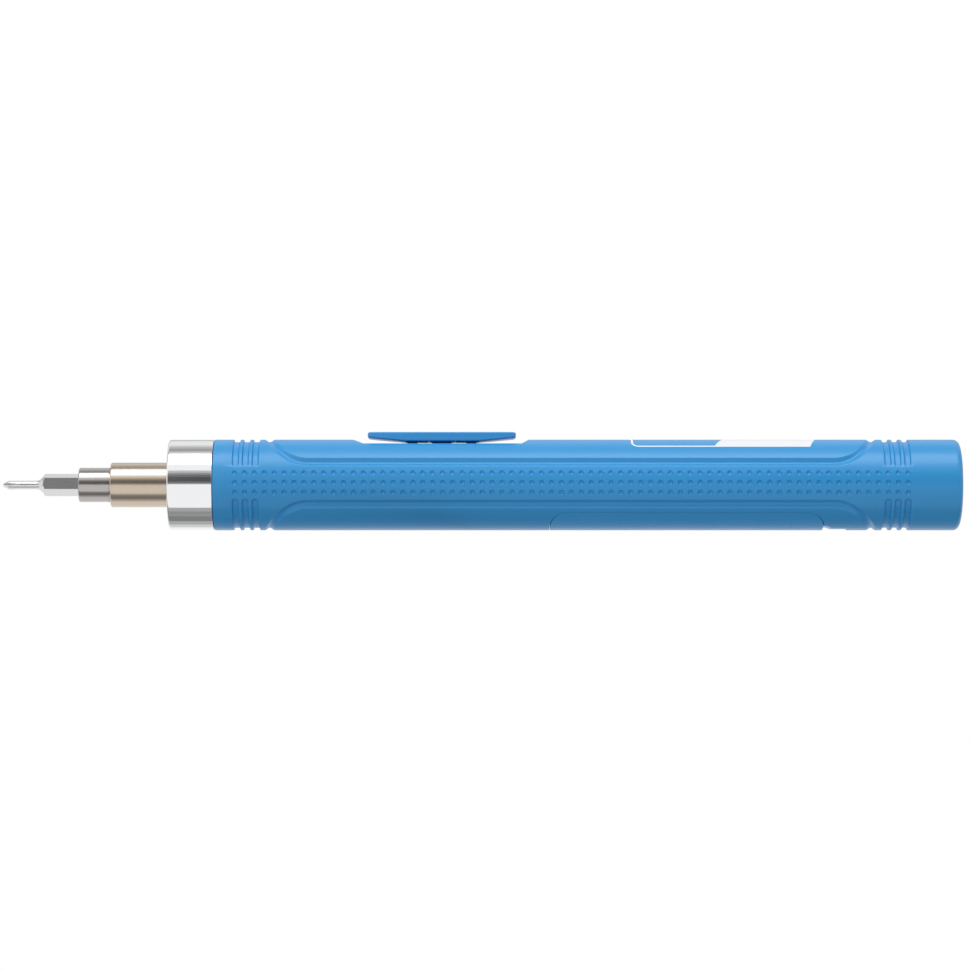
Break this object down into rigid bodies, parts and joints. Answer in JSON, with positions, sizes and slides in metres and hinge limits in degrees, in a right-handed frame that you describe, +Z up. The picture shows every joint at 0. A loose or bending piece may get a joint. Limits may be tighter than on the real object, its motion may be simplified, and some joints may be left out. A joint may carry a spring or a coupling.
{
  "type": "electric torque screwdriver",
  "caption": "Slim pen-type battery torque screwdriver with a rocker button, torque collar, quick-release chuck and cross bit.",
  "frame": {"origin": "under the middle of the bounding box, at the height of the barrel's lowest line", "axes": "-X out of the bit, +X out of the tail, +Z up through the rocker button"},
  "size_m": [0.1951, 0.0186, 0.0201],
  "materials": {
    "shell_blue": "satin moulded plastic, light blue",
    "rocker_blue": "satin moulded plastic, light blue",
    "navy": "matt moulded plastic, dark blue",
    "chrome": "polished chrome plate",
    "champagne": "anodised, champagne, satin turned",
    "warm_steel": "ground steel, warm grey",
    "bit_steel": "bright tool steel",
    "steel": "ground steel",
    "spring_steel": "drawn wire",
    "bronze": "sintered bronze",
    "brass": "turned brass",
    "case_metal": "die-cast, satin",
    "gear_plastic": "natural acetal",
    "magnet": "nickel plated",
    "board_green": "solder resist",
    "black_plastic": "moulded, black",
    "white_plastic": "moulded, white",
    "cell_wrap": "steel can in a dark wrap",
    "lead_red": "insulated wire",
    "lead_black": "insulated wire"
  },
  "bodies": {
    "body": {"housing_left": "shell_blue", "housing_right": "shell_blue", "battery_cell": "cell_wrap", "battery_spring": "spring_steel", "contact_front": "brass", "contact_rear": "brass", "control_board": "board_green", "controller_chip": "black_plastic", "filter_capacitor": "black_plastic", "switch_body_front": "black_plastic", "switch_body_rear": "black_plastic", "pivot_block": "navy", "gear_case": "case_metal", "clutch_ring_gear": "steel", "pressure_plate": "steel", "clutch_balls": "steel", "clutch_spring": "spring_steel", "collar_retainer": "spring_steel", "spindle_bush": "bronze", "motor_can": "steel", "motor_end_bell": "black_plastic", "motor_plate": "case_metal", "motor_screws": "steel", "motor_lead_a": "lead_red", "motor_lead_b": "lead_black"},
    "battery_door": {"battery_door": "shell_blue"},
    "rocker": {"rocker_button": "rocker_blue", "rocker_frame": "navy", "rocker_pin": "steel"},
    "plunger_front": {"switch_plunger_front": "white_plastic"},
    "plunger_rear": {"switch_plunger_rear": "white_plastic"},
    "torque_collar": {"torque_collar": "chrome"},
    "clutch_nut": {"clutch_nut": "brass"},
    "motor_rotor": {"motor_rotor": "steel", "motor_pinion": "brass"},
    "stage_carrier": {"stage_carrier": "steel", "input_planet_pins": "steel"},
    "input_planet_a": {"input_planet_a": "gear_plastic"},
    "input_planet_b": {"input_planet_b": "gear_plastic"},
    "input_planet_c": {"input_planet_c": "gear_plastic"},
    "spindle": {"output_spindle": "warm_steel", "output_planet_pins": "steel", "spindle_clip": "spring_steel", "bit_magnet": "magnet", "sleeve_front_ring": "spring_steel", "sleeve_spring_seat": "steel", "screwdriver_bit": "bit_steel"},
    "output_planet_a": {"output_planet_a": "steel"},
    "output_planet_b": {"output_planet_b": "steel"},
    "output_planet_c": {"output_planet_c": "steel"},
    "release_sleeve": {"release_sleeve": "champagne", "sleeve_spring": "spring_steel"},
    "lock_ball_a": {"lock_ball_a": "steel"},
    "lock_ball_b": {"lock_ball_b": "steel"}
  },
  "joints": [
    {"name": "motor_spin", "type": "hinge", "parent": "body", "child": "motor_rotor", "pos_m": [-0.03425, 0, 0.00925], "axis": [1, 0, 0], "continuous": true},
    {"name": "carrier_spin", "type": "hinge", "parent": "body", "child": "stage_carrier", "pos_m": [-0.04525, 0, 0.00925], "axis": [1, 0, 0], "continuous": true},
    {"name": "spindle_spin", "type": "hinge", "parent": "body", "child": "spindle", "pos_m": [-0.08195, 0, 0.00925], "axis": [1, 0, 0], "continuous": true},
    {"name": "input_planet_a_spin", "type": "hinge", "parent": "stage_carrier", "child": "input_planet_a", "pos_m": [-0.04255, 0, 0.01345], "axis": [1, 0, 0], "continuous": true},
    {"name": "input_planet_b_spin", "type": "hinge", "parent": "stage_carrier", "child": "input_planet_b", "pos_m": [-0.04255, -0.00364, 0.00715], "axis": [1, 0, 0], "continuous": true},
    {"name": "input_planet_c_spin", "type": "hinge", "parent": "stage_carrier", "child": "input_planet_c", "pos_m": [-0.04255, 0.00364, 0.00715], "axis": [1, 0, 0], "continuous": true},
    {"name": "output_planet_a_spin", "type": "hinge", "parent": "spindle", "child": "output_planet_a", "pos_m": [-0.04765, 0, 0.01345], "axis": [1, 0, 0], "continuous": true},
    {"name": "output_planet_b_spin", "type": "hinge", "parent": "spindle", "child": "output_planet_b", "pos_m": [-0.04765, -0.00364, 0.00715], "axis": [1, 0, 0], "continuous": true},
    {"name": "output_planet_c_spin", "type": "hinge", "parent": "spindle", "child": "output_planet_c", "pos_m": [-0.04765, 0.00364, 0.00715], "axis": [1, 0, 0], "continuous": true},
    {"name": "sleeve_slide", "type": "slide", "parent": "spindle", "child": "release_sleeve", "axis": [1, 0, 0], "range_m": [0, 0.0019], "stiffness_N_per_m": 600, "deforming": ["sleeve_spring"]},
    {"name": "lock_ball_a_slide", "type": "slide", "parent": "spindle", "child": "lock_ball_a", "axis": [0, 0.9936, 0.1132], "range_m": [0, 0.0005]},
    {"name": "lock_ball_b_slide", "type": "slide", "parent": "spindle", "child": "lock_ball_b", "axis": [0, -0.9936, -0.1132], "range_m": [0, 0.0005]},
    {"name": "collar_turn", "type": "hinge", "parent": "body", "child": "torque_collar", "pos_m": [-0.05895, 0, 0.00925], "axis": [-1, 0, 0], "range_deg": [0, 300]},
    {"name": "clutch_nut_slide", "type": "slide", "parent": "torque_collar", "child": "clutch_nut", "axis": [1, 0, 0], "range_m": [0, 0.001], "deforming": ["clutch_spring"]},
    {"name": "rocker_tilt", "type": "hinge", "parent": "body", "child": "rocker", "pos_m": [-0.00795, 0, 0.0186], "axis": [0, 1, 0], "range_deg": [-3, 3], "stiffness_Nm_per_rad": 0.2},
    {"name": "plunger_front_slide", "type": "slide", "parent": "body", "child": "plunger_front", "axis": [0, 0, -1], "range_m": [-0.000315, 0.000315]},
    {"name": "plunger_rear_slide", "type": "slide", "parent": "body", "child": "plunger_rear", "axis": [0, 0, -1], "range_m": [-0.000315, 0.000315]},
    {"name": "battery_door_hinge", "type": "hinge", "parent": "body", "child": "battery_door", "pos_m": [0.01415, 0, 0], "axis": [0, 1, 0], "range_deg": [0, 50]}
  ],
  "couplings": [
    {"joint": "carrier_spin", "follows": "motor_spin", "ratio": 0.21429},
    {"joint": "spindle_spin", "follows": "motor_spin", "ratio": 0.045918},
    {"joint": "input_planet_a_spin", "follows": "motor_spin", "ratio": -0.58929},
    {"joint": "input_planet_b_spin", "follows": "motor_spin", "ratio": -0.58929},
    {"joint": "input_planet_c_spin", "follows": "motor_spin", "ratio": -0.58929},
    {"joint": "output_planet_a_spin", "follows": "motor_spin", "ratio": -0.12628},
    {"joint": "output_planet_b_spin", "follows": "motor_spin", "ratio": -0.12628},
    {"joint": "output_planet_c_spin", "follows": "motor_spin", "ratio": -0.12628},
    {"joint": "lock_ball_a_slide", "follows": "sleeve_slide", "ratio": 0.26316},
    {"joint": "lock_ball_b_slide", "follows": "sleeve_slide", "ratio": 0.26316},
    {"joint": "clutch_nut_slide", "follows": "collar_turn", "m_per_rad": 0.00019099},
    {"joint": "plunger_front_slide", "follows": "rocker_tilt", "m_per_rad": -0.006},
    {"joint": "plunger_rear_slide", "follows": "rocker_tilt", "m_per_rad": 0.006}
  ]
}
